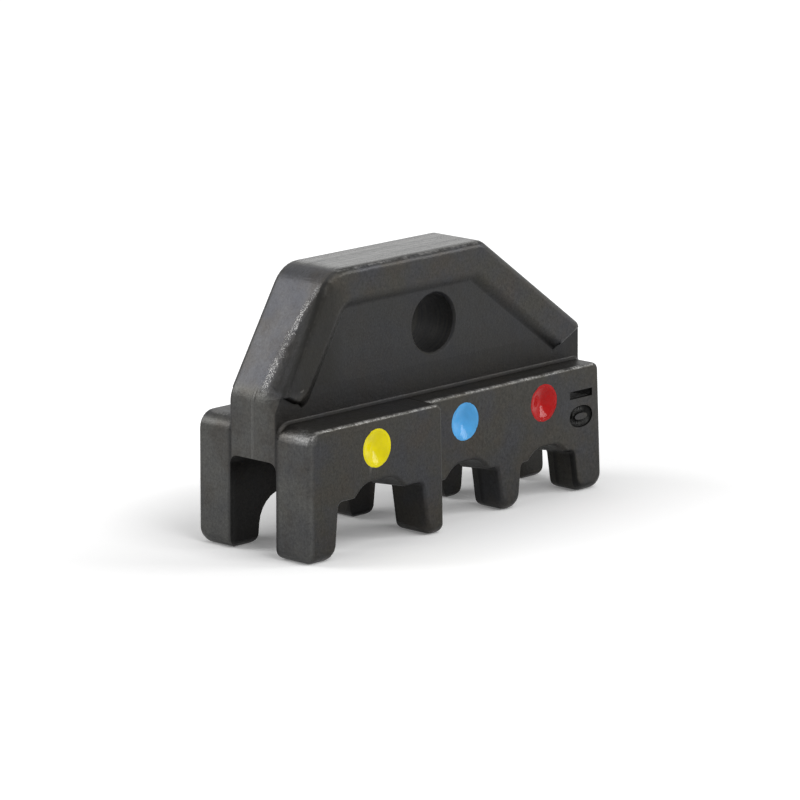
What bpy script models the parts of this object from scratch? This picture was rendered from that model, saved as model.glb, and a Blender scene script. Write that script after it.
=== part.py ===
"""Crimp die of a ratchet hand tool for insulated terminals, one half of a pair.

The die is one piece of sintered steel. A flat tang with a raised rim and one screw hole
fixes it in the jaw. Below the shoulder are three crimp nests side by side, each an arched
gap between two pairs of legs, and a channel runs through the middle of all the legs.
Each nest is marked by a drop of lacquer in a round dimple: yellow, blue and red.

The drawing's datum is the left end of the die, the plane midway between its two faces and
the tips of its legs. X runs along the row of nests, Y through the nests and Z up the tang.
All sizes are in metres.
"""
import math

import bmesh
import bpy

# Overall form, with X measured from the left end and Z from the leg tips
LENGTH = 0.03715
HEIGHT = 0.02356
SHOULDER_HEIGHT = 0.0113
SHOULDER_LEFT_R = 0.0015
SHOULDER_RIGHT_R = 0.0007
LEFT_END_LEAN = 0.0001
RIGHT_END_LEAN = 0.00045
FACE_EDGE_R = 0.0003

# Deep block around the largest nest, and the shallower block around the other two
DEEP_BLOCK_DEPTH = 0.01305
DEEP_BLOCK_LEAN = 0.0002
DEEP_BLOCK_CORNER_R = 0.0008
DEEP_BLOCK_TIP_R = 0.00045
SHALLOW_BLOCK_SETBACK = 0.00144

# Channel along the underside
DEEP_CHANNEL_WIDTH = 0.00544
DEEP_CHANNEL_HEIGHT = 0.00815
SHALLOW_CHANNEL_WIDTH = 0.00375
SHALLOW_CHANNEL_HEIGHT = 0.0080
CHANNEL_TAPER = 0.0030
CHANNEL_ROOF_R = 0.0008
CHANNEL_MOUTH_R = 0.0006

# Legs, whose widths share in this proportion what the nests leave of the length
FIRST_LEG = 0.00357
SECOND_LEG_DEEP = 0.00237
SECOND_LEG_SHALLOW = 0.00115
THIRD_LEG = 0.0030
FOURTH_LEG = 0.0032

# Nests: the gap between two legs, a flat step on each side and an arch, two of them left of the middle
LARGE_NEST_WIDTH = 0.00996
LARGE_NEST_STEP = 0.00483
LARGE_ARCH_OFFSET = 0.0001
LARGE_ARCH_WIDTH = 0.0059
LARGE_ARCH_RISE = 0.00114
MEDIUM_NEST_WIDTH = 0.00725
MEDIUM_NEST_STEP = 0.00404
MEDIUM_ARCH_OFFSET = 0.00012
MEDIUM_ARCH_WIDTH = 0.0053
MEDIUM_ARCH_RISE = 0.00120
SMALL_NEST_WIDTH = 0.00655
SMALL_NEST_STEP = 0.00388
SMALL_ARCH_WIDTH = 0.0048
SMALL_ARCH_RISE = 0.00095
ARCH_SHOULDER_R = 0.0022
ARCH_FOOT_R = 0.0006
LEFT_TAPER_DEG = 5.5
RIGHT_TAPER_DEG = 9.0
LEG_TIP_R = 0.00095
TIP_FACE_R = 0.0009
NEST_CORNER_R = 0.0005
BELL_MOUTH = 0.0003

# The largest nest in the back wall: lower, with a narrower arch and well rounded corners
BACK_NEST_DROP = 0.0004
BACK_NEST_CORNER_R = 0.0028
BACK_ARCH_WIDTH = 0.0041

# Tang: a plate with a raised rim along its top and both slopes
PLATE_THICKNESS = 0.00542
RIM_THICKNESS = 0.00628
RIM_WIDTH = 0.00295
RIM_EDGE_R = 0.00065
LEFT_FOOT_RISE = 0.0020
RIGHT_FOOT_RISE = 0.0031
LEFT_SLOPE_RUN = 0.00633
RIGHT_SLOPE_RUN = 0.01245
TOP_LEFT_R = 0.0031
TOP_RIGHT_R = 0.0015
FOOT_LEFT_R = 0.0024
FOOT_RIGHT_R = 0.0010
ROOT_FILLET_R = 0.0005
ROOT_FILLET_END_DEG = 75.0

# Sunk field inside the rim, whose two ends rise outwards to the tang's ends
LEFT_RIM_END_RISE = 0.00278
RIGHT_RIM_END_RISE = 0.00294
RIM_END_DEG = 27.5
POCKET_LEFT_R = 0.0016
POCKET_RIGHT_R = 0.0009
RIM_END_LEFT_R = 0.0012
RIM_END_RIGHT_R = 0.0006
POCKET_FILLET_R = 0.00012
POCKET_LIP_R = 0.00028

# Flat worn on the front edge of the left slope, which dies out up the slope
WEAR_LENGTH = 0.0139
WEAR_DEPTH = 0.00235
WEAR_INSET = 0.0003

# Screw hole through the tang, to the right of its middle and below mid height
HOLE_OFFSET = 0.00035
HOLE_DROP = 0.00027
HOLE_D = 0.00508
HOLE_CHAMFER = 0.0002

# Lacquer dots in their dimples, each a little left of its arch's middle
DOT_DROP = 0.00255
YELLOW_DOT_OFFSET = 0.00041
BLUE_DOT_OFFSET = 0.00034
RED_DOT_OFFSET = 0.00049
DIMPLE_D = 0.00335
DIMPLE_DEPTH = 0.0008
LACQUER_DIP = 0.0003
LACQUER_GAP = 0.0001

# Facets of the arcs and of the round cuts
ARC_STEPS = 6
EDGE_STEPS = 3
ROUND_STEPS = 48

# Share of a side that the arcs at its ends may take
ARC_LIMIT = 0.96

# How far a cutter stands clear of what it cuts, and how deep a fillet bites into the faces it joins
CLEAR = 0.002
BITE = 0.00003

# Where the shallow block surfaces in the deep block's rounded corners, as a share of their radius
SURFACING = 0.75

# Sizes and places that follow from those above, with X measured from the left end
shallow_block_depth = DEEP_BLOCK_DEPTH - 2 * SHALLOW_BLOCK_SETBACK
nest_widths = LARGE_NEST_WIDTH + MEDIUM_NEST_WIDTH + SMALL_NEST_WIDTH
leg_widths = FIRST_LEG + SECOND_LEG_DEEP + SECOND_LEG_SHALLOW + THIRD_LEG + FOURTH_LEG
leg_scale = (LENGTH - nest_widths) / leg_widths
large_nest_x = FIRST_LEG * leg_scale + LARGE_NEST_WIDTH / 2
deep_block_length = large_nest_x + LARGE_NEST_WIDTH / 2 + SECOND_LEG_DEEP * leg_scale
medium_nest_x = deep_block_length + SECOND_LEG_SHALLOW * leg_scale + MEDIUM_NEST_WIDTH / 2
small_nest_x = medium_nest_x + MEDIUM_NEST_WIDTH / 2 + THIRD_LEG * leg_scale + SMALL_NEST_WIDTH / 2
large_arch_x = large_nest_x - LARGE_ARCH_OFFSET
medium_arch_x = medium_nest_x - MEDIUM_ARCH_OFFSET
left_foot = SHOULDER_HEIGHT + LEFT_FOOT_RISE
right_foot = SHOULDER_HEIGHT + RIGHT_FOOT_RISE
hole_x = LENGTH / 2 + HOLE_OFFSET
hole_z = (SHOULDER_HEIGHT + HEIGHT) / 2 - HOLE_DROP
dot_z = SHOULDER_HEIGHT - DOT_DROP


def offset_corners(corners, inset):
    """Moves every side of a closed outline of (x, z, radius) corners inwards by inset."""
    moved = []
    for i, (x, z, radius) in enumerate(corners):
        px, pz, _ = corners[i - 1]
        nx, nz, _ = corners[(i + 1) % len(corners)]
        before = math.hypot(x - px, z - pz)
        after = math.hypot(nx - x, nz - z)
        ax, az = (x - px) / before, (z - pz) / before
        bx, bz = (nx - x) / after, (nz - z) / after
        # The mitre of two sides walked anticlockwise, whose inner side is on the left
        turn = ax * bz - az * bx
        scale = inset / (1 + ax * bx + az * bz)
        mitre_x = -(az + bz) * scale
        mitre_z = (ax + bx) * scale
        if radius > 0:
            radius = radius - inset if turn > 0 else radius + inset
        moved.append((x + mitre_x, z + mitre_z, max(radius, 0.0)))
    return moved


def round_corners(corners, rounded):
    """Points of a closed outline whose corners marked in rounded are arcs, limited by their sides."""
    count = len(corners)
    reach = []
    for i, (x, z, radius) in enumerate(corners):
        px, pz, _ = corners[i - 1]
        nx, nz, _ = corners[(i + 1) % count]
        angle_in = math.atan2(z - pz, x - px)
        angle_out = math.atan2(nz - z, nx - x)
        turn = math.remainder(angle_out - angle_in, 2 * math.pi)
        reach.append((angle_in, turn, radius * abs(math.tan(turn / 2))))
    points = []
    for i, (x, z, radius) in enumerate(corners):
        if not rounded[i]:
            points.append((x, z))
            continue
        angle_in, turn, length = reach[i]
        share = 1.0
        for j in (i - 1, (i + 1) % count):
            limit = ARC_LIMIT * math.hypot(x - corners[j][0], z - corners[j][1])
            wanted = length + reach[j][2]
            if wanted > limit:
                share = min(share, limit / wanted)
        length *= share
        radius *= share
        start_x = x - length * math.cos(angle_in)
        start_z = z - length * math.sin(angle_in)
        side = math.copysign(1.0, turn)
        centre_x = start_x - side * radius * math.sin(angle_in)
        centre_z = start_z + side * radius * math.cos(angle_in)
        for step in range(ARC_STEPS + 1):
            angle = angle_in + turn * step / ARC_STEPS
            points.append((centre_x + side * radius * math.sin(angle),
                           centre_z - side * radius * math.cos(angle)))
    return points


def outline(corners, inset=0.0):
    """Points of an anticlockwise outline of (x, z, radius) corners, moved inwards by inset."""
    rounded = [radius > 0 for _, _, radius in corners]
    return round_corners(offset_corners(corners, inset), rounded)


def new_object(name, bm, material=None):
    """Makes a Blender object of a bmesh, with the die's middle over the origin."""
    bmesh.ops.recalc_face_normals(bm, faces=bm.faces)
    # A face twisted by a bell mouth or round an arc isn't flat, and a Boolean needs flat faces
    bmesh.ops.triangulate(bm, faces=bm.faces)
    mesh = bpy.data.meshes.new(name)
    bm.to_mesh(mesh)
    bm.free()
    obj = bpy.data.objects.new(name, mesh)
    bpy.context.collection.objects.link(obj)
    obj.location.x = -(LENGTH + RIGHT_END_LEAN - LEFT_END_LEAN) / 2
    if material:
        mesh.materials.append(material)
        mesh.shade_smooth()
        mesh.set_sharp_from_angle(angle=math.radians(30))
    else:
        obj.hide_render = True
        obj.display_type = 'WIRE'
    return obj


def loft(sections):
    """Closed bmesh through rings of (x, y, z) points, with a flat face on each end."""
    bm = bmesh.new()
    rings = [[bm.verts.new(point) for point in ring] for ring in sections]
    bm.faces.new(rings[0])
    bm.faces.new(list(reversed(rings[-1])))
    for lower, upper in zip(rings, rings[1:]):
        for i in range(len(lower)):
            j = (i + 1) % len(lower)
            bm.faces.new((lower[i], upper[i], upper[j], lower[j]))
    return bm


def slab(corners_at, half_depth, edge_radius, levels=()):
    """Loft from face to face along Y with rounded face edges.

    corners_at(y) gives the outline's corners at that depth, and levels are further depths
    at which the outline changes.
    """
    rim = []
    for step in range(EDGE_STEPS + 1):
        angle = math.pi / 2 * step / EDGE_STEPS
        rim.append((half_depth - edge_radius * (1 - math.sin(angle)),
                    edge_radius * (1 - math.cos(angle))))
    stations = [(-y, inset) for y, inset in reversed(rim)]
    stations += [(y, 0.0) for y in levels]
    stations += rim
    return loft([[(x, y, z) for x, z in outline(corners_at(y), inset)] for y, inset in stations])


def quarter_arc(centre_y, centre_z, radius):
    """Points of a hollow quarter round that runs from below its centre to its -Y side."""
    points = []
    for step in range(ARC_STEPS + 1):
        angle = math.pi / 2 * step / ARC_STEPS
        points.append((centre_y - radius * math.sin(angle), centre_z - radius * math.cos(angle)))
    return points


def both_sides(points):
    """Closed (y, z) outline from the half of it at +Y, walked upwards."""
    return points + [(-y, z) for y, z in reversed(points)]


def turned(profile, x, z):
    """Closed bmesh of a (radius, y) profile spun round the axis along Y through (x, z)."""
    bm = bmesh.new()
    verts = [bm.verts.new((x + radius, y, z)) for radius, y in profile]
    edges = [bm.edges.new(pair) for pair in zip(verts, verts[1:])]
    bmesh.ops.spin(bm, geom=verts + edges, cent=(x, 0, z), axis=(0, 1, 0),
                   angle=2 * math.pi, steps=ROUND_STEPS, use_merge=True)
    bmesh.ops.remove_doubles(bm, verts=bm.verts, dist=BITE / 10)
    return bm


def combine(body, tool, operation):
    """Adds an exact Boolean of the tool to the body's modifiers."""
    modifier = body.modifiers.new(tool.name, 'BOOLEAN')
    modifier.operation = operation
    modifier.solver = 'EXACT'
    modifier.object = tool


def finish(name, colour, roughness, metallic):
    """Principled material of one finish."""
    material = bpy.data.materials.new(name)
    material.use_nodes = True
    shader = material.node_tree.nodes['Principled BSDF']
    shader.inputs['Base Color'].default_value = (*colour, 1.0)
    shader.inputs['Roughness'].default_value = roughness
    shader.inputs['Metallic'].default_value = metallic
    material.diffuse_color = (*colour, 1.0)
    return material


def falloff(radius, distance):
    """How far a quarter round has fallen at a distance from the edge that it rounds."""
    into = min(max(radius - distance, 0.0), radius)
    return radius - math.sqrt(radius ** 2 - into ** 2)


def tip_level(y, depth):
    """Level of the leg tips at a depth, which round off towards both faces of their block."""
    from_face = depth / 2 - abs(y)
    # The rounded face edges already take their own share off
    return falloff(TIP_FACE_R, from_face) - falloff(FACE_EDGE_R, from_face)


def nest_corners(nest, arch, drop, corner_r, tip):
    """Corners of a nest from its left leg's tip, over the arch, to its right leg's tip.

    nest gives the middle's X, the width and the height of the steps, arch the middle's X, the
    width and the rise over the steps. drop lowers the steps with the arch, and tip is the level
    of the leg tips.
    """
    middle, width, step = nest
    arch_middle, arch_width, rise = arch
    left = math.tan(math.radians(LEFT_TAPER_DEG))
    right = math.tan(math.radians(RIGHT_TAPER_DEG))
    left_side = middle - width / 2
    right_side = middle + width / 2
    arch_left = arch_middle - arch_width / 2
    arch_right = arch_middle + arch_width / 2
    level = step - drop
    return [(left_side - (step - tip) * left, tip, LEG_TIP_R),
            (left_side - drop * left, level, corner_r),
            (arch_left, level, ARCH_FOOT_R),
            (arch_left + rise, level + rise, ARCH_SHOULDER_R),
            (arch_right - rise, level + rise, ARCH_SHOULDER_R),
            (arch_right, level, ARCH_FOOT_R),
            (right_side + drop * right, level, corner_r),
            (right_side + (step - tip) * right, tip, LEG_TIP_R)]


def bell_mouth(y, channel_width, depth):
    """How far a nest's ceiling has dropped at a depth on its way from the face to the channel."""
    into_wall = (depth / 2 - abs(y)) / (depth - channel_width) * 2
    return BELL_MOUTH * min(max(into_wall, 0.0), 1.0)


def wall_levels(channel_width, depth):
    """Depths at which a block's outline changes: the channel's sides and where its leg tips round off."""
    face = depth / 2
    middle = face - (TIP_FACE_R + FACE_EDGE_R) / 2
    return (-middle, -face + TIP_FACE_R, -channel_width / 2, channel_width / 2, face - TIP_FACE_R, middle)


def deep_block(y):
    """Corners of the block around the largest nest, anticlockwise from its upper left."""
    drop = bell_mouth(y, DEEP_CHANNEL_WIDTH, DEEP_BLOCK_DEPTH)
    arch_width = LARGE_ARCH_WIDTH
    corner_r = NEST_CORNER_R
    if y > 0:
        drop += BACK_NEST_DROP
        arch_width = BACK_ARCH_WIDTH
        corner_r = BACK_NEST_CORNER_R
    tip = tip_level(y, DEEP_BLOCK_DEPTH)
    height_share = 1 - tip / SHOULDER_HEIGHT
    return [(0.0, SHOULDER_HEIGHT, SHOULDER_LEFT_R),
            (-LEFT_END_LEAN * height_share, tip, LEG_TIP_R),
            *nest_corners((large_nest_x, LARGE_NEST_WIDTH, LARGE_NEST_STEP),
                          (large_arch_x, arch_width, LARGE_ARCH_RISE), drop, corner_r, tip),
            (deep_block_length + DEEP_BLOCK_LEAN * height_share, tip, DEEP_BLOCK_TIP_R),
            (deep_block_length, SHOULDER_HEIGHT, DEEP_BLOCK_CORNER_R)]


def shallow_block(y):
    """Corners of the block around the two smaller nests, which rises out of the deep block."""
    # It surfaces within the deep block's rounded corners, where no two faces lie in one plane
    top = deep_block_length - DEEP_BLOCK_CORNER_R * SURFACING
    foot = deep_block_length + DEEP_BLOCK_LEAN - DEEP_BLOCK_TIP_R * SURFACING
    inside = top - DEEP_BLOCK_CORNER_R
    drop = bell_mouth(y, SHALLOW_CHANNEL_WIDTH, shallow_block_depth)
    tip = tip_level(y, shallow_block_depth)
    right_lean = RIGHT_END_LEAN * (1 - tip / SHOULDER_HEIGHT)
    return [(top, SHOULDER_HEIGHT, 0.0),
            (inside, SHOULDER_HEIGHT - DEEP_BLOCK_CORNER_R, 0.0),
            (inside, DEEP_BLOCK_CORNER_R, 0.0),
            (foot, tip, 0.0),
            *nest_corners((medium_nest_x, MEDIUM_NEST_WIDTH, MEDIUM_NEST_STEP),
                          (medium_arch_x, MEDIUM_ARCH_WIDTH, MEDIUM_ARCH_RISE), drop, NEST_CORNER_R, tip),
            *nest_corners((small_nest_x, SMALL_NEST_WIDTH, SMALL_NEST_STEP),
                          (small_nest_x, SMALL_ARCH_WIDTH, SMALL_ARCH_RISE), drop, NEST_CORNER_R, tip),
            (LENGTH + right_lean, tip, LEG_TIP_R),
            (LENGTH, SHOULDER_HEIGHT, SHOULDER_RIGHT_R)]


def tang_corners():
    """Corners of the tang, whose lower edge lies inside the blocks above the channel."""
    root = (DEEP_CHANNEL_HEIGHT + SHOULDER_HEIGHT) / 2
    return [(0.0, root, 0.0),
            (LENGTH, root, 0.0),
            (LENGTH, right_foot, FOOT_RIGHT_R),
            (LENGTH - RIGHT_SLOPE_RUN, HEIGHT, TOP_RIGHT_R),
            (LEFT_SLOPE_RUN, HEIGHT, TOP_LEFT_R),
            (0.0, left_foot, FOOT_LEFT_R)]


def slope_of(run, foot):
    """Length of a slope of the tang and its run and rise per unit of length."""
    rise = HEIGHT - foot
    length = math.hypot(run, rise)
    return length, run / length, rise / length


def rim_corners(run, foot, end_rise):
    """Inner corners of the rim at its lower end and at the top, measured from one end of the tang."""
    _, across, up = slope_of(run, foot)
    # The inner line starts square off the slope from its foot and runs along the slope
    start_x = RIM_WIDTH * up
    start_z = foot - RIM_WIDTH * across
    fall = math.tan(math.radians(RIM_END_DEG))
    end_z = SHOULDER_HEIGHT + end_rise
    reach = (end_z - fall * start_x - start_z) / (up + fall * across)
    top_z = HEIGHT - RIM_WIDTH
    top_x = start_x + (top_z - start_z) * across / up
    return (start_x + reach * across, start_z + reach * up), (top_x, top_z)


def pocket_corners():
    """Corners of the sunk field inside the rim, which is open towards the shoulder."""
    left_end, left_top = rim_corners(LEFT_SLOPE_RUN, left_foot, LEFT_RIM_END_RISE)
    right_end, right_top = rim_corners(RIGHT_SLOPE_RUN, right_foot, RIGHT_RIM_END_RISE)
    outer_rise = CLEAR * math.tan(math.radians(RIM_END_DEG))
    below = DEEP_CHANNEL_HEIGHT
    return [(-CLEAR, below, 0.0),
            (LENGTH + CLEAR, below, 0.0),
            (LENGTH + CLEAR, SHOULDER_HEIGHT + RIGHT_RIM_END_RISE + outer_rise, 0.0),
            (LENGTH - right_end[0], right_end[1], RIM_END_RIGHT_R),
            (LENGTH - right_top[0], right_top[1], POCKET_RIGHT_R),
            (*left_top, POCKET_LEFT_R),
            (*left_end, RIM_END_LEFT_R),
            (-CLEAR, SHOULDER_HEIGHT + LEFT_RIM_END_RISE + outer_rise, 0.0)]


def worn_edge():
    """Cutter of the flat on the front edge of the left slope, deepest at the slope's foot."""
    length, across, up = slope_of(LEFT_SLOPE_RUN, left_foot)
    face = -RIM_THICKNESS / 2
    sections = []
    for reach in (-CLEAR, length):
        share = 1 - reach / WEAR_LENGTH
        depth = WEAR_DEPTH * share
        inset = WEAR_INSET * share
        # A triangle whose long side is the flat, drawn out beyond both faces of the tang
        ring = ((-2 * inset, face - depth), (inset, face - depth), (inset, face + 2 * depth))
        sections.append([(reach * across - out * up, y, left_foot + reach * up + out * across)
                         for out, y in ring])
    return loft(sections)


def pocket(side):
    """Cutter that sinks the field inside the rim on one face, with a fillet and a rounded lip."""
    floor = PLATE_THICKNESS / 2
    surface = RIM_THICKNESS / 2
    turns = [math.pi / 2 * step / EDGE_STEPS for step in range(EDGE_STEPS + 1)]
    stations = [(floor + POCKET_FILLET_R * (1 - math.cos(turn)), POCKET_FILLET_R * (1 - math.sin(turn)))
                for turn in turns]
    stations += [(surface - POCKET_LIP_R * (1 - math.sin(turn)), -POCKET_LIP_R * (1 - math.cos(turn)))
                 for turn in turns]
    stations.append((surface + CLEAR, -POCKET_LIP_R))
    return loft([[(x, side * y, z) for x, z in outline(pocket_corners(), inset)]
                 for y, inset in stations])


def root_fillet():
    """Fillets where the tang's plate meets the shoulder, which follow its rounded ends down."""
    centre_y = PLATE_THICKNESS / 2 + ROOT_FILLET_R - BITE
    rise = quarter_arc(centre_y, ROOT_FILLET_R - BITE, ROOT_FILLET_R)
    profile = both_sides([(centre_y, -ROOT_FILLET_R)] + rise)
    left = (SHOULDER_LEFT_R, SHOULDER_LEFT_R)
    right = (LENGTH - SHOULDER_RIGHT_R, SHOULDER_RIGHT_R)
    turns = [math.radians(ROOT_FILLET_END_DEG) * step / ARC_STEPS for step in range(ARC_STEPS + 1)]
    stations = [(*left, -turn) for turn in reversed(turns)] + [(*right, turn) for turn in turns]
    sections = []
    for centre_x, radius, turn in stations:
        ring = []
        for y, height in profile:
            x = centre_x + (radius + height) * math.sin(turn)
            z = SHOULDER_HEIGHT - radius + (radius + height) * math.cos(turn)
            # Cut off just inside the ends of the die, where the plate ends too
            ring.append((min(max(x, BITE), LENGTH - BITE), y, z))
        sections.append(ring)
    return loft(sections)


def channel(width, height):
    """Outline in Y and Z of the channel, with a rounded roof and rounded lips at the leg tips."""
    half = width / 2
    lip = quarter_arc(half + CHANNEL_MOUTH_R, CHANNEL_MOUTH_R - BITE, CHANNEL_MOUTH_R)
    mouth = (half + CHANNEL_MOUTH_R, -CLEAR)
    centre_y = half - CHANNEL_ROOF_R
    centre_z = height - CHANNEL_ROOF_R
    roof = []
    for step in range(ARC_STEPS + 1):
        angle = math.pi / 2 * step / ARC_STEPS
        roof.append((centre_y + CHANNEL_ROOF_R * math.cos(angle),
                     centre_z + CHANNEL_ROOF_R * math.sin(angle)))
    return both_sides([mouth] + lip + roof)


def hole_profile():
    """Screw hole with a small chamfer at each face of the plate."""
    face = PLATE_THICKNESS / 2
    radius = HOLE_D / 2
    return [(0.0, -face - CLEAR),
            (radius + HOLE_CHAMFER + CLEAR, -face - CLEAR),
            (radius, -face + HOLE_CHAMFER),
            (radius, face - HOLE_CHAMFER),
            (radius + HOLE_CHAMFER + CLEAR, face + CLEAR),
            (0.0, face + CLEAR)]


def bowl(radius, depth, y):
    """Points of a shallow round bowl that opens at y, from its middle to its brim."""
    sphere = (radius ** 2 + depth ** 2) / (2 * depth)
    half_angle = math.asin(radius / sphere)
    points = []
    for step in range(ARC_STEPS + 1):
        angle = half_angle * step / ARC_STEPS
        points.append((sphere * math.sin(angle), y + depth - sphere * (1 - math.cos(angle))))
    return points


def dimple_profile(face):
    """Cutter of the dimple in a face at y = face."""
    brim = DIMPLE_D / 2
    return bowl(brim, DIMPLE_DEPTH, face) + [(brim, face - CLEAR), (0.0, face - CLEAR)]


def lacquer_profile(face):
    """Lacquer in the dimple, dried hollow, with a hair's gap to the steel."""
    brim = DIMPLE_D / 2 - LACQUER_GAP
    under = bowl(brim, DIMPLE_DEPTH - LACQUER_GAP, face)
    top = bowl(brim - LACQUER_GAP, LACQUER_DIP, face)
    return under + list(reversed(top))


for old in list(bpy.data.objects):
    bpy.data.objects.remove(old, do_unlink=True)

steel = finish('black_oxide_steel', (0.075, 0.074, 0.072), 0.48, 0.85)
yellow = finish('yellow_lacquer', (0.75, 0.66, 0.02), 0.22, 0.0)
blue = finish('blue_lacquer', (0.08, 0.33, 0.68), 0.22, 0.0)
red = finish('red_lacquer', (0.50, 0.02, 0.02), 0.22, 0.0)

# The tang is cut to its rimmed form before it joins the blocks
tang = new_object('tang', slab(lambda y: tang_corners(), RIM_THICKNESS / 2, RIM_EDGE_R))
for side, name in ((-1, 'front_pocket'), (1, 'back_pocket')):
    combine(tang, new_object(name, pocket(side)), 'DIFFERENCE')
combine(tang, new_object('worn_edge', worn_edge()), 'DIFFERENCE')

deep = slab(deep_block, DEEP_BLOCK_DEPTH / 2, FACE_EDGE_R,
            wall_levels(DEEP_CHANNEL_WIDTH, DEEP_BLOCK_DEPTH))
shallow = slab(shallow_block, shallow_block_depth / 2, FACE_EDGE_R,
               wall_levels(SHALLOW_CHANNEL_WIDTH, shallow_block_depth))
body = new_object('die_body', deep, steel)
combine(body, new_object('shallow_block', shallow), 'UNION')
combine(body, tang, 'UNION')
combine(body, new_object('tang_root', root_fillet()), 'UNION')

# One cutter makes the channel, which narrows from where the shallower block begins
wide = channel(DEEP_CHANNEL_WIDTH, DEEP_CHANNEL_HEIGHT)
narrow = channel(SHALLOW_CHANNEL_WIDTH, SHALLOW_CHANNEL_HEIGHT)
stations = [(-CLEAR, wide), (deep_block_length, wide), (deep_block_length + CHANNEL_TAPER, narrow),
            (LENGTH + RIGHT_END_LEAN + CLEAR, narrow)]
channel_cutter = loft([[(x, y, z) for y, z in section] for x, section in stations])
combine(body, new_object('channel', channel_cutter), 'DIFFERENCE')
combine(body, new_object('screw_hole', turned(hole_profile(), hole_x, hole_z)), 'DIFFERENCE')

# Each dimple is cut where its lacquer drop lies, in the front face of its block
dots = (('yellow', large_arch_x - YELLOW_DOT_OFFSET, DEEP_BLOCK_DEPTH, yellow),
        ('blue', medium_arch_x - BLUE_DOT_OFFSET, shallow_block_depth, blue),
        ('red', small_nest_x - RED_DOT_OFFSET, shallow_block_depth, red))
for name, x, depth, lacquer in dots:
    face = -depth / 2
    combine(body, new_object(name + '_dimple', turned(dimple_profile(face), x, dot_z)), 'DIFFERENCE')
    new_object(name + '_lacquer_dot', turned(lacquer_profile(face), x, dot_z), lacquer)
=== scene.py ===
import math

import bmesh
import bpy
from mathutils import Matrix, Vector, noise
from mathutils.bvhtree import BVHTree


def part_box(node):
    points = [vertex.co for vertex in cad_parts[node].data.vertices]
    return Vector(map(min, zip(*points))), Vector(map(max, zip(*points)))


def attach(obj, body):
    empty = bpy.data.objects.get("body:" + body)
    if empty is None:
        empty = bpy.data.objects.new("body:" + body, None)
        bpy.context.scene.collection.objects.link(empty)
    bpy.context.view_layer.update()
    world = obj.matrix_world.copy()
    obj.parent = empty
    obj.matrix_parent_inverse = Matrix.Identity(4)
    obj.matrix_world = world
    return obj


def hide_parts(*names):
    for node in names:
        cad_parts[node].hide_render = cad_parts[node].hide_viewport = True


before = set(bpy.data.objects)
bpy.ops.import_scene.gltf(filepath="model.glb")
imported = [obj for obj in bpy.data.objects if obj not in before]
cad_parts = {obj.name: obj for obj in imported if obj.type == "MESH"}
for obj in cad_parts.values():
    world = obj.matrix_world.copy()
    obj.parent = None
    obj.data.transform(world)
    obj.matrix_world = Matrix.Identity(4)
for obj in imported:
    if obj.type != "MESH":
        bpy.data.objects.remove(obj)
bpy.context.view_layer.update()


# The die itself is one piece of sintered steel, pressed in a mould that leaves soft edges. The
# grooves and nests come out of the same mould, and a plain size number is sunk beside the smallest.

NUMBER = "10"
NUMBER_PLACE = Vector((0.0160, -0.005085, 0.0078))
NUMBER_HEIGHT = 0.0037
NUMBER_SPACING = 1.08
NUMBER_BOLDNESS = 0.00016
NUMBER_DEPTH = 0.00030
MERGE_REACH = 2e-6
FLAT_FOLD = math.radians(0.5)
SHARP_FOLD = math.radians(32)
ROUNDING_WIDTH = 0.0004
ROUNDING_FOLD = math.radians(30)
FLOOR_LEVEL = 0.00271
RIM_LEVEL = 0.00314
LEVEL_SLACK = 0.01
TANG_FOOT = 0.0121
TANG_ENDS = (-0.0183, 0.0181)
HOLE_PLACE = Vector((0.000175, 0, 0.01716))
HOLE_CLEARING = 0.0033
FLOOR_FACING = 0.985
WALL_PULL = 0.1
WALL_SPREAD = 0.00025
WALL_SLANT = 0.00070
FLAT_FORWARDS = (-0.3, -0.05)
FLAT_LEFTWARDS = -0.7
CREASE_FOLD = math.radians(10)
CREASE_PARTS = 9
CREASE_BOW = 0.00055
WORN_TURN = math.radians(9)
CORNER_LEVELS = (0.0143, 0.0218)
CORNER_REACH = 0.0010
CORNER_GRID = 0.00022
CORNER_SPLITS = 7
CORNER_ROUNDS = 30
CUT_BEYOND = 0.0016
CUT_BELOW = 0.0004
NET_SHARE = 1.4
NET_FACING = -0.05
WORN_FACING = -0.04
SKY_RAYS = 48
SKY_REACH = 0.012
GOLDEN_ANGLE = math.pi * (3 - math.sqrt(5))
HAIR = 0.00002


def merged_copy(node, name):
    """A piece with the shape of a CAD node, whose loose triangles are joined into one skin."""
    piece = bpy.data.objects.new(name, bpy.data.objects[node].data.copy())
    bpy.context.collection.objects.link(piece)
    bm = bmesh.new()
    bm.from_mesh(piece.data)
    bmesh.ops.remove_doubles(bm, verts=bm.verts, dist=MERGE_REACH)
    bmesh.ops.dissolve_limit(bm, angle_limit=FLAT_FOLD, verts=bm.verts, edges=bm.edges)
    bm.to_mesh(piece.data)
    bm.free()
    return piece


def smooth_skin(piece):
    """Shades the roundings smoothly and keeps flats flat."""
    piece.data.shade_smooth()
    piece.data.set_sharp_from_angle(angle=SHARP_FOLD)
    weighted = piece.modifiers.new("even_shading", 'WEIGHTED_NORMAL')
    weighted.keep_sharp = True


def once_each(parts):
    """The parts of a mesh, each once and in their order, so that every run works alike."""
    return list(dict.fromkeys(parts))


def finished_mesh(piece):
    """The mesh of a piece as its lettering or its modifiers leave it."""
    bpy.context.view_layer.update()
    graph = bpy.context.evaluated_depsgraph_get()
    return bpy.data.meshes.new_from_object(piece.evaluated_get(graph))


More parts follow.
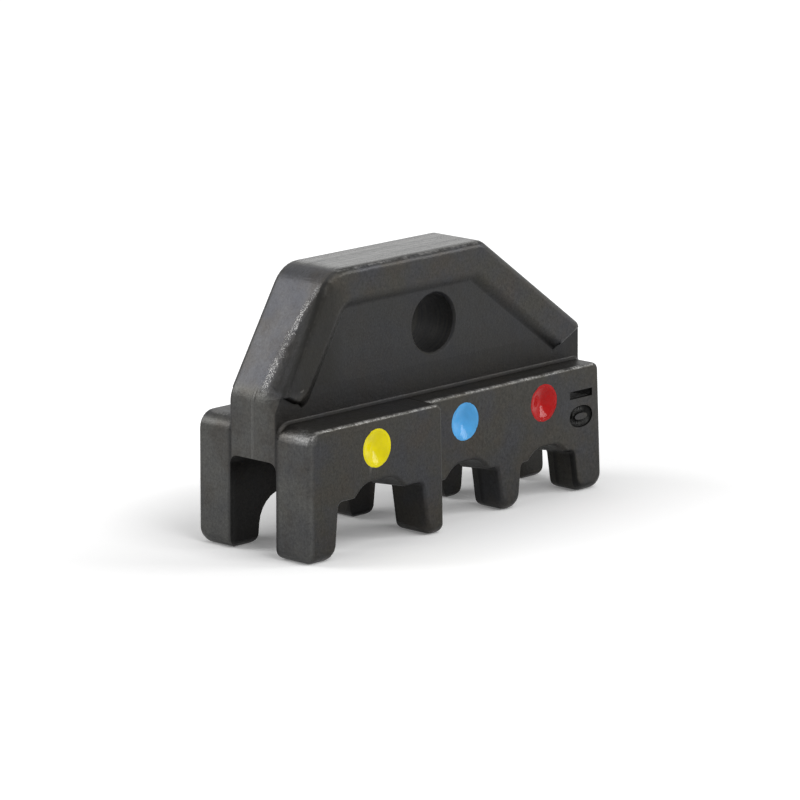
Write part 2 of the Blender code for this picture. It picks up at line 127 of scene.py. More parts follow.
def sink_number(body):
    """Sinks the size number into the front face, to be read with the die stood on its left end."""
    lettering = bpy.data.curves.new("size_number", 'FONT')
    lettering.body = NUMBER
    lettering.size = NUMBER_HEIGHT
    lettering.space_character = NUMBER_SPACING
    lettering.align_x = 'CENTER'
    lettering.align_y = 'CENTER'
    lettering.extrude = NUMBER_DEPTH
    lettering.offset = NUMBER_BOLDNESS
    written = bpy.data.objects.new("size_number", lettering)
    bpy.context.collection.objects.link(written)
    stamp_mesh = finished_mesh(written)
    bpy.data.objects.remove(written)
    # The digits run down the face with their heads to the right
    turn = Matrix(((0, 1, 0), (0, 0, -1), (-1, 0, 0))).to_4x4()
    stamp_mesh.transform(Matrix.Translation(NUMBER_PLACE) @ turn)
    bm = bmesh.new()
    bm.from_mesh(stamp_mesh)
    bmesh.ops.remove_doubles(bm, verts=bm.verts, dist=MERGE_REACH)
    bmesh.ops.recalc_face_normals(bm, faces=bm.faces)
    bm.to_mesh(stamp_mesh)
    bm.free()
    stamp = bpy.data.objects.new("number_stamp", stamp_mesh)
    bpy.context.collection.objects.link(stamp)
    cut = body.modifiers.new("sunk_number", 'BOOLEAN')
    cut.solver = 'EXACT'
    cut.object = stamp
    body.data = finished_mesh(body)
    body.modifiers.clear()
    bpy.data.objects.remove(stamp)


def slant_walls(mesh):
    """Slants the walls of the sunk fields, which leave the mould softer than a cutter would."""
    bm = bmesh.new()
    bm.from_mesh(mesh)
    shifts = {}
    for vert in bm.verts:
        depth = (RIM_LEVEL - abs(vert.co.y)) / (RIM_LEVEL - FLOOR_LEVEL)
        off_hole = Vector((vert.co.x, 0, vert.co.z)) - HOLE_PLACE
        inside = TANG_ENDS[0] < vert.co.x < TANG_ENDS[1] and vert.co.z > TANG_FOOT
        on_wall = -LEVEL_SLACK < depth < 1 + LEVEL_SLACK
        if not inside or not on_wall or off_hole.length < HOLE_CLEARING:
            continue
        inward = Vector()
        for face in vert.link_faces:
            if abs(face.normal.y) < FLOOR_FACING:
                inward += Vector((face.normal.x, 0, face.normal.z))
        # The walls look into the field, and the rim's outer rounding looks the other way
        towards_hole = -off_hole.normalized()
        if inward.length > WALL_PULL and inward.dot(towards_hole) > 0:
            shifts[vert] = inward.normalized() * (WALL_SLANT * depth - WALL_SPREAD)
    for vert, shift in shifts.items():
        vert.co += shift
    bm.to_mesh(mesh)
    bm.free()


def worn_flat(bm):
    """The largest of the faces that lean slightly forwards from the left slope."""
    leaning = [face for face in bm.faces
               if FLAT_FORWARDS[0] < face.normal.y < FLAT_FORWARDS[1] and face.normal.x < FLAT_LEFTWARDS]
    return max(leaning, key=lambda face: face.calc_area())


def wear_slope_edge(mesh):
    """Cuts the worn flat of the left slope deeper towards the front, by a plane turned about its
    crease, bows the crease, and gives the foot and the top of the flat's corner with the rim."""
    bm = bmesh.new()
    bm.from_mesh(mesh)
    flat = worn_flat(bm)
    crease = max((edge for edge in flat.edges if edge.calc_face_angle() < CREASE_FOLD),
                 key=lambda edge: edge.calc_length())
    foot, top = sorted((vert.co.copy() for vert in crease.verts), key=lambda end: end.z)
    way = (top - foot).normalized()
    length = (top - foot).length
    facing = min((Matrix.Rotation(turn, 3, way) @ flat.normal for turn in (WORN_TURN, -WORN_TURN)),
                 key=lambda normal: normal.y)
    tang = [face for face in bm.faces if any(vert.co.z > TANG_FOOT for vert in face.verts)]
    tang_edges = once_each(edge for face in tang for edge in face.edges)
    tang_verts = once_each(vert for face in tang for vert in face.verts)
    bmesh.ops.bisect_plane(bm, geom=tang + tang_edges + tang_verts, dist=MERGE_REACH,
                           plane_co=foot, plane_no=facing, clear_outer=True)
    rim = [edge for edge in bm.edges if edge.is_boundary]
    flat = bmesh.ops.holes_fill(bm, edges=rim, sides=0)["faces"][0]
    crease = min(flat.edges, key=lambda edge: abs(edge.calc_length() - length))
    parts = bmesh.ops.subdivide_edges(bm, edges=[crease], cuts=CREASE_PARTS)["geom_split"]
    for vert in once_each(part for part in parts if isinstance(part, bmesh.types.BMVert)):
        share = (vert.co - foot).dot(way) / length
        vert.co.y += CREASE_BOW * 4 * share * (1 - share)
    bmesh.ops.triangulate(bm, faces=[flat])
    bmesh.ops.recalc_face_normals(bm, faces=bm.faces)
    bm.to_mesh(mesh)
    bm.free()
    corner = []
    for z in CORNER_LEVELS:
        lean = (-RIM_LEVEL - foot.y) * facing.y + (z - foot.z) * facing.z
        corner.append(Vector((foot.x - lean / facing.x, -RIM_LEVEL, z)))
    return corner


def round_worn_corner(mesh, corner_foot, corner_top):
    """Rounds the corner of that flat, as wear does: a fine net of faces is smoothed over and over."""

    def off_corner(spot):
        way = corner_top - corner_foot
        along = min(max((spot - corner_foot).dot(way) / way.length_squared, 0), 1)
        return (spot - corner_foot - way * along).length

    def net():
        return [face for face in bm.faces if face.normal.y < NET_FACING
                and off_corner(face.calc_center_median()) < NET_SHARE * CORNER_REACH]

    bm = bmesh.new()
    bm.from_mesh(mesh)
    # Two cuts part the front of the tang there, so that the net stays off the rest of it
    for spot, across in ((Vector((corner_top.x + CUT_BEYOND, 0, 0)), Vector((1, 0, 0))),
                         (Vector((0, 0, corner_foot.z - CUT_BELOW)), Vector((0, 0, 1)))):
        everything = bm.verts[:] + bm.edges[:] + bm.faces[:]
        bmesh.ops.bisect_plane(bm, geom=everything, plane_co=spot, plane_no=across)
    for _ in range(CORNER_SPLITS):
        bmesh.ops.triangulate(bm, faces=[face for face in net() if len(face.verts) > 3])
        long_edges = once_each(edge for face in net() for edge in face.edges
                               if edge.calc_length() > CORNER_GRID)
        bmesh.ops.subdivide_edges(bm, edges=long_edges, cuts=1)
    bmesh.ops.triangulate(bm, faces=[face for face in net() if len(face.verts) > 3])
    worn = [vert for vert in bm.verts if off_corner(vert.co) < CORNER_REACH
            and vert.co.z > corner_foot.z
            and all(face.normal.y < WORN_FACING for face in vert.link_faces)]
    for _ in range(CORNER_ROUNDS):
        bmesh.ops.smooth_vert(bm, verts=worn, factor=0.5, use_axis_x=True, use_axis_y=True,
                              use_axis_z=True)
    bm.to_mesh(mesh)
    bm.free()


def mark_roundings(mesh):
    """Writes how tightly each narrow face bends over an edge, where handling rubs the black off."""
    bm = bmesh.new()
    bm.from_mesh(mesh)
    rubbed = bm.faces.layers.float.new("rubbed")
    for face in bm.faces:
        longest = sorted(face.edges, key=lambda edge: edge.calc_length())[-2:]
        width = face.calc_area() / longest[-1].calc_length()
        fold = sum(edge.calc_face_angle_signed(0) for edge in longest) / 2
        if width < ROUNDING_WIDTH and fold > 0:
            face[rubbed] = min(fold / ROUNDING_FOLD, 1.0)
    bm.to_mesh(mesh)
    bm.free()


def mark_shelter(mesh):
    """Writes how much of the sky over each face the die itself hides, where less light comes in."""
    bm = bmesh.new()
    bm.from_mesh(mesh)
    tree = BVHTree.FromBMesh(bm)
    sheltered = bm.faces.layers.float.new("sheltered")
    for face in bm.faces:
        start = face.calc_center_median_weighted() + face.normal * HAIR
        turn = face.normal.to_track_quat('Z', 'Y')
        hidden = 0
        for i in range(SKY_RAYS):
            reach = math.sqrt((i + 0.5) / SKY_RAYS)
            around = i * GOLDEN_ANGLE
            ray = Vector((reach * math.cos(around), reach * math.sin(around), math.sqrt(1 - reach ** 2)))
            if tree.ray_cast(start, turn @ ray, SKY_REACH)[0] is not None:
                hidden += 1
        face[sheltered] = hidden / SKY_RAYS
    bm.to_mesh(mesh)
    bm.free()


body = merged_copy("die_body", "blackened_die")
sink_number(body)
slant_walls(body.data)
corner = wear_slope_edge(body.data)
round_worn_corner(body.data, *corner)
mark_roundings(body.data)
mark_shelter(body.data)
smooth_skin(body)
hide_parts("die_body")
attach(body, "root")


# Black oxide finish of the die: a hot bath turns the steel a deep matt grey with faint blue and
# brown clouds over the fine grain of the sintered powder. The top of the tang is ground afterwards,
# the hole is turned, and handling rubs the black off the edges.

OXIDE = (0.036, 0.0345, 0.0300)
BLUE_CLOUD = (0.0295, 0.0320, 0.0420)
BROWN_CLOUD = (0.0400, 0.0330, 0.0250)
# Lighter colours of the left end and slope, as painted sheen
END_PAINTED_SHEEN = (0.069, 0.0685, 0.0645)
SLOPE_PAINTED_SHEEN = (0.056, 0.0560, 0.0590)
FIELD = (0.0190, 0.0196, 0.0205)
FIELD_FOOT = (0.0085, 0.0082, 0.0086)
# Darker inside the hole, as painted shade
HOLE_PAINTED_SHADE = (0.0130, 0.0135, 0.0170)
GROUND = (0.150, 0.150, 0.144)
GROOVE = (0.008, 0.008, 0.007)
BARE = (0.29, 0.286, 0.278)
# Darker inside the sunk number, as painted shade
NUMBER_SHADE = (0.010, 0.0100, 0.0095)
# The worn flat beside the slope's crease, darkened as painted shade
WORN_FLAT_PAINTED_SHADE = (0.014, 0.0135, 0.0120)
# The burr's bare sparks, coloured near white as painted glints
BARE_BURR_PAINTED_GLINT = (0.90, 0.89, 0.87)
METALNESS = 0.8

# Patterns, each as its features per metre, its detail and its roughness
BLUE_CLOUD_PATTERN = (240, 3, 0.6)
BROWN_CLOUD_PATTERN = (300, 3, 0.6)
GRAIN_PATTERN = (5200, 3, 0.65)
COARSE_GRAIN_PATTERN = (3200, 3, 0.7)
UNEVEN_PATTERN = (700, 2, 0.5)
WHEEL_PATTERN = (1500, 4, 0.8)
RING_PATTERN = (2600, 3, 0.7)
RUB_PATTERN = (900, 3, 0.7)
SPARK_PATTERN = (11000, 2, 0.6)
ELSEWHERE = (0.4, 0.2, 0.1)
WHEEL_STRETCH = (0.02, 1, 1)
RING_STRETCH = (0.05, 1, 0.05)

# Bands of a pattern, each from the value where its mark begins to the one where it is whole
BLUE_CLOUD_BAND = (0.42, 0.66)
BROWN_CLOUD_BAND = (0.46, 0.68)
FIELD_GRAIN_BAND = (-0.3, 0.9)
WHEEL_BAND = (0.36, 0.64)
RING_BAND = (0.35, 0.65)
SPECKLE_BAND = (0.55, 1.45)
SHELTER_BAND = (0.1, 0.8)
GRAIN_TIP_BAND = (0.30, 0.62)
RUB_BAND = (0.36, 0.62)
SPARK_BAND = (0.46, 0.66)
SPARK_PATCH_BAND = (0.20, 0.50)
BURR_BAND = (0.0, 0.9)

# Bands of the die, each from the place where a finish begins to the one where it is whole
SLOPE_BAND = (0.00284, 0.00224)
SLOPE_FOOT_BAND = (0.0130, 0.0137)
LEFT_END_BAND = (-0.01805, -0.01845)
FIELD_WALL_BAND = (0.00309, 0.00276)
FIELD_FLOOR_BAND = (0.00251, 0.00261)
FIELD_FOOT_BAND = (0.0165, 0.0120)
GROUND_BAND = (0.02342, 0.02350)
HOLE_BAND = (0.00275, 0.00265)
CLEAR_OF_TANG_BAND = (0.0038, 0.0040)
BESIDE_CREASE_BAND = (0.0, -0.0006)
PARTING_BAND = (0.00022, 0.00008)
PARTING_FOOT_BAND = (0.0079, 0.0083)
NUMBER_BOUNDS = (("Y", -0.00507, -0.00503), ("Y", -0.0045, -0.0046),
                 ("X", 0.0141, 0.0143), ("X", 0.0181, 0.0179))
WORN_EDGE_BOUNDS = (("Z", 0.02256, 0.02176), ("X", -0.0105, -0.0125), ("Z", 0.0135, 0.0141))
LEFT_CORNER_BOUNDS = (("X", -0.0176, -0.0184), ("Z", 0.0101, 0.0107), ("Y", -0.0030, -0.0052))

# Edges that are rubbed, with how wide the rub is and how far it wanders, and the burr's crease
SHOULDER_EDGE = 0.01121
SHOULDER_RUB = 0.00013
TOP_EDGE = 0.02342
TOP_RUB = 0.00012
STEP_EDGE = -0.00272
STEP_RUB = 0.00014
RUB_CORE = 0.3
RUB_WANDER = 0.0003
CREASE_LEVELS = (0.0133, 0.02356)
CREASE_DEPTHS = (-0.00079, -0.00283)
BURR_WIDTHS = (0.00045, 0.00016)
BURR_RAGGEDNESS = 0.0014

# How strongly each mark covers what is under it, and how much lighter or darker a place gets
CLOUD_SHARE = 0.5
END_CLOUD_LOSS = 0.15
TOP_RUB_SHARE = 0.6
CORNER_RUB_AND_SHEEN_SHARE = 0.45
WORN_FLAT_SHADE_SHARE = 0.72
PARTING_SHARE = 0.06
SPECKLE_SHADES = (0.58, 1.42)
SHELTER_SHADES = (1.0, 0.38)

DULLNESS = 0.30
GRAIN_DULLNESS = 0.2
GROUND_SHINE = 0.17
HOLE_DULLNESS = 0.25
GRAIN_RELIEF = 0.000014
COARSE_GRAIN_RELIEF = 0.000016
UNEVEN_RELIEF = 0.00004
WHEEL_RELIEF = 0.00004
RING_RELIEF = 0.00002
BURR_RELIEF = 0.00006
PARTING_RELIEF = 0.00003


def new_finish(name):
    """A material and the shader that gives its finish."""
    material = bpy.data.materials.new(name)
    material.use_nodes = True
    return material, material.node_tree.nodes["Principled BSDF"]


def coat(piece, material):
    """Gives a piece this finish and no other."""
    piece.data.materials.clear()
    piece.data.materials.append(material)


def feed(material, fed, **feeds):
    """Feeds sockets of a node, named with underscores, with values or other sockets."""
    for name, given in feeds.items():
        key = int(name[1:]) if name[1:].isdigit() else name.replace("_", " ")
        if isinstance(given, bpy.types.NodeSocket):
            material.node_tree.links.new(given, fed.inputs[key])
        else:
            fed.inputs[key].default_value = given


def node(material, kind, settings, **feeds):
    """Adds a node with these settings and feeds its sockets."""
    added = material.node_tree.nodes.new("ShaderNode" + kind)
    for name, value in settings.items():
        setattr(added, name, value)
    feed(material, added, **feeds)
    return added


def maths(material, operation, a, b=0.0):
    """What a Math node makes of a and b."""
    return node(material, "Math", {"operation": operation}, _0=a, _1=b).outputs[0]


def product(material, first, *others):
    """All of these multiplied together."""
    for other in others:
        first = maths(material, 'MULTIPLY', first, other)
    return first


def added_up(material, start, *parts):
    """The start plus each part times its own weight."""
    for part, weight in parts:
        start = maths(material, 'ADD', start, product(material, part, weight))
    return start


def ramp(material, value, start, end, low=0.0, high=1.0, held=True):
    """Runs from low where value is at start to high where it is at end, held beyond both."""
    return node(material, "MapRange", {"clamp": held}, Value=value, From_Min=start, From_Max=end,
                To_Min=low, To_Max=high).outputs[0]


def blend(material, share, a, b):
    """Colour between a and b by share."""
    a, b = ((*colour, 1) if isinstance(colour, tuple) else colour for colour in (a, b))
    return node(material, "Mix", {"data_type": 'RGBA'}, _0=share, _6=a, _7=b).outputs[2]


def cloud(material, place, scale, detail, roughness):
    """Fractal noise, in features per metre."""
    return node(material, "TexNoise", {}, Vector=place, Scale=scale, Detail=detail,
                Roughness=roughness).outputs[0]


steel, steel_shader = new_finish("black_oxide_steel")
place = node(steel, "TexCoord", {}).outputs["Object"]
split = node(steel, "SeparateXYZ", {}, Vector=place).outputs
along = split["X"]
through = split["Y"]
height = split["Z"]
off_middle = maths(steel, 'ABSOLUTE', through)


def within(bounds):
    """1 in one region of the die, which fades in from the start to the end of each bound."""
    return product(steel, *(ramp(steel, split[axis], start, end) for axis, start, end in bounds))


# Clouds of colour some millimetres wide, and the grain of the powder
elsewhere = node(steel, "Mapping", {}, Vector=place, Location=ELSEWHERE).outputs[0]
blue_clouds = ramp(steel, cloud(steel, place, *BLUE_CLOUD_PATTERN), *BLUE_CLOUD_BAND)
brown_clouds = ramp(steel, cloud(steel, elsewhere, *BROWN_CLOUD_PATTERN), *BROWN_CLOUD_BAND)
grain = cloud(steel, place, *GRAIN_PATTERN)
grain_tips = ramp(steel, grain, *GRAIN_TIP_BAND)
coarse_grain = cloud(steel, elsewhere, *COARSE_GRAIN_PATTERN)
wavering = maths(steel, 'SUBTRACT', coarse_grain, 0.5)
unevenness = cloud(steel, place, *UNEVEN_PATTERN)

# Painted sheen: the left end and slope are coloured lighter, so that they shine a little more than the
# rest
at_end = ramp(steel, along, *LEFT_END_BAND)
on_slope = product(steel, ramp(steel, off_middle, *SLOPE_BAND), ramp(steel, height, *SLOPE_FOOT_BAND))
finish_colour = blend(steel, on_slope, OXIDE, SLOPE_PAINTED_SHEEN)
finish_colour = blend(steel, at_end, finish_colour, END_PAINTED_SHEEN)
blue_share = product(steel, blue_clouds, added_up(steel, CLOUD_SHARE, (at_end, -END_CLOUD_LOSS)))
brown_share = product(steel, brown_clouds, CLOUD_SHARE)
finish_colour = blend(steel, blue_share, finish_colour, BLUE_CLOUD)
finish_colour = blend(steel, brown_share, finish_colour, BROWN_CLOUD)

# The sunk fields of the tang, where the bath stood and coloured deeper, darker still near the shoulder
field_share = product(steel, ramp(steel, off_middle, *FIELD_WALL_BAND),
                      ramp(steel, off_middle, *FIELD_FLOOR_BAND),
                      ramp(steel, coarse_grain, *FIELD_GRAIN_BAND))
field_colour = blend(steel, ramp(steel, height, *FIELD_FOOT_BAND), FIELD, FIELD_FOOT)
finish_colour = blend(steel, field_share, finish_colour, field_colour)

# The ground top of the tang, with the wheel's lines along it
ground = ramp(steel, height, *GROUND_BAND)
drawn_out = node(steel, "Mapping", {}, Vector=place, Scale=WHEEL_STRETCH).outputs[0]
wheel_lines = cloud(steel, drawn_out, *WHEEL_PATTERN)
ground_colour = blend(steel, ramp(steel, wheel_lines, *WHEEL_BAND), GROOVE, GROUND)
finish_colour = blend(steel, ground, finish_colour, ground_colour)

# The turned hole, with fine rings across its axis, coloured darker inside as painted shade
from_hole = node(steel, "VectorMath", {"operation": 'SUBTRACT'}, _0=place, _1=HOLE_PLACE).outputs[0]
across_hole = node(steel, "VectorMath", {"operation": 'MULTIPLY'}, _0=from_hole, _1=(1, 0, 1)).outputs[0]
hole_reach = node(steel, "VectorMath", {"operation": 'LENGTH'}, _0=across_hole).outputs["Value"]
in_hole = ramp(steel, hole_reach, *HOLE_BAND)
ring_place = node(steel, "Mapping", {}, Vector=place, Scale=RING_STRETCH).outputs[0]
turned_rings = cloud(steel, ring_place, *RING_PATTERN)
hole_colour = blend(steel, ramp(steel, turned_rings, *RING_BAND), HOLE_PAINTED_SHADE, OXIDE)
finish_colour = blend(steel, in_hole, finish_colour, hole_colour)

# The sunk number, darkened inside as painted shade
finish_colour = blend(steel, within(NUMBER_BOUNDS), finish_colour, NUMBER_SHADE)

# Fine light and dark grains all over, and painted shade where the die shelters itself
sheltered = node(steel, "Attribute", {"attribute_name": "sheltered"}).outputs["Fac"]
speckle = ramp(steel, maths(steel, 'ADD', grain, coarse_grain), *SPECKLE_BAND, *SPECKLE_SHADES)
shade = product(steel, speckle, ramp(steel, sheltered, *SHELTER_BAND, *SHELTER_SHADES))
finish_colour = node(steel, "Mix", {"data_type": 'RGBA', "blend_type": 'MULTIPLY'},
                     _0=1.0, _6=finish_colour, _7=shade).outputs[2]

# Rubbed edges: most on the shoulders, the tang's top and the step between the blocks
rubbed = node(steel, "Attribute", {"attribute_name": "rubbed"}).outputs["Fac"]
wander = product(steel, wavering, RUB_WANDER)


def near(value, edge, half_width):
    """1 where value is at the edge's place, fading to 0 over half_width, with a wandering line."""
    wandered = maths(steel, 'ADD', value, wander)
    gap = maths(steel, 'ABSOLUTE', maths(steel, 'SUBTRACT', wandered, edge))
    return ramp(steel, gap, half_width, half_width * RUB_CORE)


clear_of_tang = ramp(steel, off_middle, *CLEAR_OF_TANG_BAND)
at_shoulder = product(steel, near(height, SHOULDER_EDGE, SHOULDER_RUB), clear_of_tang)
at_top = product(steel, near(height, TOP_EDGE, TOP_RUB), TOP_RUB_SHARE)
at_step = product(steel, near(along, STEP_EDGE, STEP_RUB), clear_of_tang)
exposed = maths(steel, 'MAXIMUM', at_shoulder, maths(steel, 'MAXIMUM', at_top, at_step))
rub_patches = ramp(steel, cloud(steel, elsewhere, *RUB_PATTERN), *RUB_BAND)
edge_rub = product(steel, rubbed, exposed, rub_patches, grain_tips)
# The front corner of the left shoulder: bare rub, partly painted sheen on its rounding
corner_rub_and_sheen = product(steel, within(LEFT_CORNER_BOUNDS), grain_tips, CORNER_RUB_AND_SHEEN_SHARE)

# The worn edge of the left slope: a worn flat, darkened with painted shade, beside a burr whose bare
# sparks spread out towards its foot and are coloured near white as painted glints
up_slope = ramp(steel, height, *CREASE_LEVELS)
straight = ramp(steel, height, *CREASE_LEVELS, *CREASE_DEPTHS, held=False)
bow = product(steel, up_slope, maths(steel, 'SUBTRACT', 1.0, up_slope), 4 * CREASE_BOW)
past_crease = maths(steel, 'SUBTRACT', through, maths(steel, 'ADD', straight, bow))
ragged = product(steel, wavering, BURR_RAGGEDNESS)
off_crease = maths(steel, 'ABSOLUTE', maths(steel, 'ADD', past_crease, ragged))
burr_width = ramp(steel, height, *CREASE_LEVELS, *BURR_WIDTHS)
burr_core = maths(steel, 'SUBTRACT', 1.0, maths(steel, 'DIVIDE', off_crease, burr_width))
on_worn_edge = within(WORN_EDGE_BOUNDS)
burr_near = product(steel, maths(steel, 'MAXIMUM', burr_core, 0.0), on_worn_edge)
sparks = ramp(steel, cloud(steel, place, *SPARK_PATTERN), *SPARK_BAND)
spark_patches = ramp(steel, unevenness, *SPARK_PATCH_BAND)
burr_sparks_and_glints = product(steel, ramp(steel, burr_near, *BURR_BAND), sparks, spark_patches)
beside_crease = ramp(steel, past_crease, *BESIDE_CREASE_BAND)
painted_shade_on_worn_flat = product(steel, beside_crease, on_worn_edge, WORN_FLAT_SHADE_SHARE)
# The worn flat darkened: painted shade
finish_colour = blend(steel, painted_shade_on_worn_flat, finish_colour, WORN_FLAT_PAINTED_SHADE)
finish_colour = blend(steel, maths(steel, 'MAXIMUM', edge_rub, corner_rub_and_sheen), finish_colour, BARE)
# Near-white sparks on the burr: bare steel with painted glints
finish_colour = blend(steel, burr_sparks_and_glints, finish_colour, BARE_BURR_PAINTED_GLINT)

# The mould's parting line, a faint ridge up the middle of the left end
on_parting = product(steel, at_end, ramp(steel, off_middle, *PARTING_BAND),
                     ramp(steel, height, *PARTING_FOOT_BAND))
finish_colour = blend(steel, product(steel, on_parting, PARTING_SHARE), finish_colour, BARE)

# The ground top shines and the turned hole is dull. Grain, the gentle unevenness of the pressed
# faces, wheel lines, rings, burr and parting line stand up a little
dullness = added_up(steel, DULLNESS, (coarse_grain, GRAIN_DULLNESS), (ground, -GROUND_SHINE),
                    (in_hole, HOLE_DULLNESS))
relief = added_up(steel, 0.0, (grain, GRAIN_RELIEF), (coarse_grain, COARSE_GRAIN_RELIEF),
                  (unevenness, UNEVEN_RELIEF),
                  (product(steel, wheel_lines, ground), WHEEL_RELIEF),
                  (product(steel, turned_rings, in_hole), RING_RELIEF),
                  (product(steel, sparks, burr_near), BURR_RELIEF),
                  (on_parting, PARTING_RELIEF))
bump = node(steel, "Bump", {}, Strength=1.0, Distance=1.0, Height=relief).outputs[0]
feed(steel, steel_shader, Metallic=METALNESS, Base_Color=finish_colour, Roughness=dullness, Normal=bump)
coat(body, steel)


# Three drops of lacquer mark the nests by the colour of the terminal that fits each of them. They
# are dabbed into the dimples and dry hollow, with a gloss on top and a ragged brim.

LACQUERS = {
    "yellow": (0.84, 0.72, 0.0005),
    "blue": (0.09, 0.40, 0.80),
    "red": (0.44, 0.004, 0.004),
}
BRIM_GROWTH = 0.05
BRIM_RAGGEDNESS = 0.035
BRIM_STEEPNESS = 4
BRIM_LOBES = 3
BRIM_NICKS = 9
BRIM_SPACING = 1000
BRIM_LEVEL = 0.00002
CONE_DEPTH = 0.00060
TIP_SOFTNESS = 0.12
LACQUER_DIP = 0.00031
LACQUER_SHEEN = 0.14
STREAK_PATTERN = (900, 2, 0.5)
STREAK_BAND = (0.35, 0.7)
STREAK_SHADE = 0.86
WAVE_PATTERN = (1500, 2, 0.5)
WAVE_DULLNESS_BAND = (-0.1, 6.0)
WAVE_RELIEF = 0.00003

for colour, tint in LACQUERS.items():
    dot = colour + "_lacquer_dot"
    drop = merged_copy(dot, colour + "_lacquer_drop")
    low, high = (Vector(corner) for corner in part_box(dot))
    middle = (low + high) / 2
    radius = (high.x - low.x) / 2
    bm = bmesh.new()
    bm.from_mesh(drop.data)
    for vert in bm.verts:
        spoke = Vector((vert.co.x - middle.x, 0, vert.co.z - middle.z))
        brim = (spoke.length / radius) ** BRIM_STEEPNESS
        # Each drop has lobes of its own
        lobes = noise.noise(spoke.normalized() * BRIM_LOBES + middle * BRIM_SPACING)
        nicks = noise.noise(spoke.normalized() * BRIM_NICKS)
        vert.co += spoke * brim * (BRIM_GROWTH + BRIM_RAGGEDNESS * (lobes + nicks))
        if vert.co.y < low.y + LACQUER_DIP:
            # The drop lines the drill point's cone that the dimple was sunk with
            share = math.hypot(spoke.length / radius, TIP_SOFTNESS)
            vert.co.y = low.y + BRIM_LEVEL + CONE_DEPTH * max(1 - share, 0)
    bm.to_mesh(drop.data)
    bm.free()
    smooth_skin(drop)
    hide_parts(dot)
    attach(drop, "root")
    lacquer, lacquer_shader = new_finish(colour + "_lacquer")
    where = node(lacquer, "TexCoord", {}).outputs["Object"]
    streaks = ramp(lacquer, cloud(lacquer, where, *STREAK_PATTERN), *STREAK_BAND)
    thin_tint = tuple(channel * STREAK_SHADE for channel in tint)
    lacquer_colour = blend(lacquer, streaks, tint, thin_tint)
    waves = cloud(lacquer, where, *WAVE_PATTERN)
    wave_dullness = ramp(lacquer, waves, *WAVE_DULLNESS_BAND)
    ripple = node(lacquer, "Bump", {}, Strength=1.0, Distance=WAVE_RELIEF, Height=waves).outputs[0]
    feed(lacquer, lacquer_shader, Specular_IOR_Level=LACQUER_SHEEN, Base_Color=lacquer_colour,
         Roughness=wave_dullness, Normal=ripple)
    coat(drop, lacquer)


# White table that runs on without an edge, as in a product photo. What the camera and gloss see of
# it glows nearly white, with a painted shadow round the foot of the die, where the glow is turned down.

TABLE_REACH = 3.0
TABLE_WHITE = (0.95, 0.95, 0.95, 1)
WHITE = (1, 1, 1, 1)
TABLE_GLOW = 0.47
# Glow round the foot of the die, turned down as painted shadow
GLOW_IN_PAINTED_SHADOW = 0.13
PAINTED_SHADOW_CORE = 0.009
PAINTED_SHADOW_REACH = 0.031
DIE_PROPORTION = (0.5, 1.25, 1)


def seen_directly(material):
    """1 for the camera and for reflections in gloss, and 0 for light that falls on the die."""
    rays = node(material, "LightPath", {}).outputs
    return maths(material, 'MAXIMUM', rays["Is Camera Ray"], rays["Is Glossy Ray"])


bm = bmesh.new()
bmesh.ops.create_grid(bm, x_segments=1, y_segments=1, size=TABLE_REACH)
floor_mesh = bpy.data.meshes.new("white_table")
bm.to_mesh(floor_mesh)
bm.free()
floor = bpy.data.objects.new("white_table", floor_mesh)
bpy.context.collection.objects.link(floor)
white, white_shader = new_finish("white_table")
table_place = node(white, "TexCoord", {}).outputs["Object"]
round_die = node(white, "Mapping", {}, Vector=table_place, Scale=DIE_PROPORTION).outputs[0]
from_die = node(white, "VectorMath", {"operation": 'LENGTH'}, _0=round_die).outputs["Value"]
# Painted shadow: the glow is turned down round the foot of the die
glow_with_painted_shadow = ramp(white, from_die, PAINTED_SHADOW_CORE, PAINTED_SHADOW_REACH, GLOW_IN_PAINTED_SHADOW, TABLE_GLOW)
table_glow = product(white, seen_directly(white), glow_with_painted_shadow)
feed(white, white_shader, Base_Color=TABLE_WHITE, Roughness=1.0, Specular_IOR_Level=0.0,
     Emission_Color=WHITE, Emission_Strength=table_glow)
coat(floor, white)


# Plain soft studio light: a pale room all round, and soft lamps overhead, behind at the left, in
# front at the right and high in front.

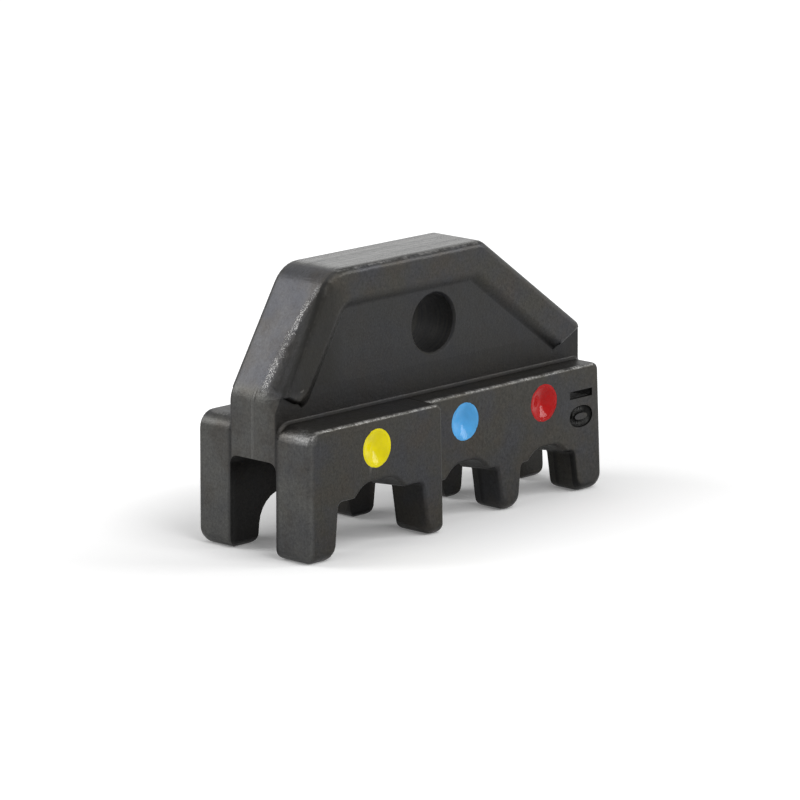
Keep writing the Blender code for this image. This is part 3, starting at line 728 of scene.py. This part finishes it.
ROOM_LIGHT = 0.12
SOFTBOX_AIM = Vector((0, 0, 0.01))
SOFTBOXES = (
    ("softbox_overhead", Vector((0, 0.1, 0.8)), 0.6, 1.2),
    ("softbox_left", Vector((-0.37, 0.47, 0.37)), 0.32, 1.6),
    ("softbox_right", Vector((0.476, -0.448, 0.252)), 0.25, 1.6),
    ("softbox_front", Vector((-0.02, -0.45, 0.53)), 0.45, 2.1),
)

room = bpy.data.worlds.new("pale_room")
bpy.context.scene.world = room
room.use_nodes = True
room_strength = ramp(room, seen_directly(room), 0.0, 1.0, ROOM_LIGHT, 1.0)
feed(room, room.node_tree.nodes["Background"], Color=WHITE, Strength=room_strength)

for name, stand, size, watts in SOFTBOXES:
    lamp = bpy.data.lights.new(name, 'AREA')
    lamp.shape = 'SQUARE'
    lamp.size = size
    lamp.energy = watts
    softbox = bpy.data.objects.new(name, lamp)
    bpy.context.collection.objects.link(softbox)
    softbox.location = stand
    softbox.rotation_euler = (SOFTBOX_AIM - stand).to_track_quat('-Z', 'Y').to_euler()


# The camera stands where the photograph was taken from, a long lens looking a little down.

LENS_MM = 249.05
YAW = math.radians(45.8714)
PITCH = math.radians(12.5783)
ROLL = math.radians(-0.2985)
AIM = Vector((-0.00025, 0.00092, 0.010014))
DISTANCE = 0.473008
NEAREST_SEEN = 0.01

away = Vector((-math.sin(YAW) * math.cos(PITCH), -math.cos(YAW) * math.cos(PITCH), math.sin(PITCH)))
level = Vector((math.cos(YAW), -math.sin(YAW), 0))
upright = away.cross(level)
right = level * math.cos(ROLL) + upright * math.sin(ROLL)
up = upright * math.cos(ROLL) - level * math.sin(ROLL)
camera = bpy.data.objects.new("camera", bpy.data.cameras.new("camera"))
bpy.context.collection.objects.link(camera)
camera.data.lens = LENS_MM
camera.data.clip_start = NEAREST_SEEN
camera.matrix_world = Matrix((right, up, away)).transposed().to_4x4()
camera.location = AIM + away * DISTANCE
bpy.context.scene.camera = camera
bpy.context.scene.view_settings.view_transform = 'Standard'
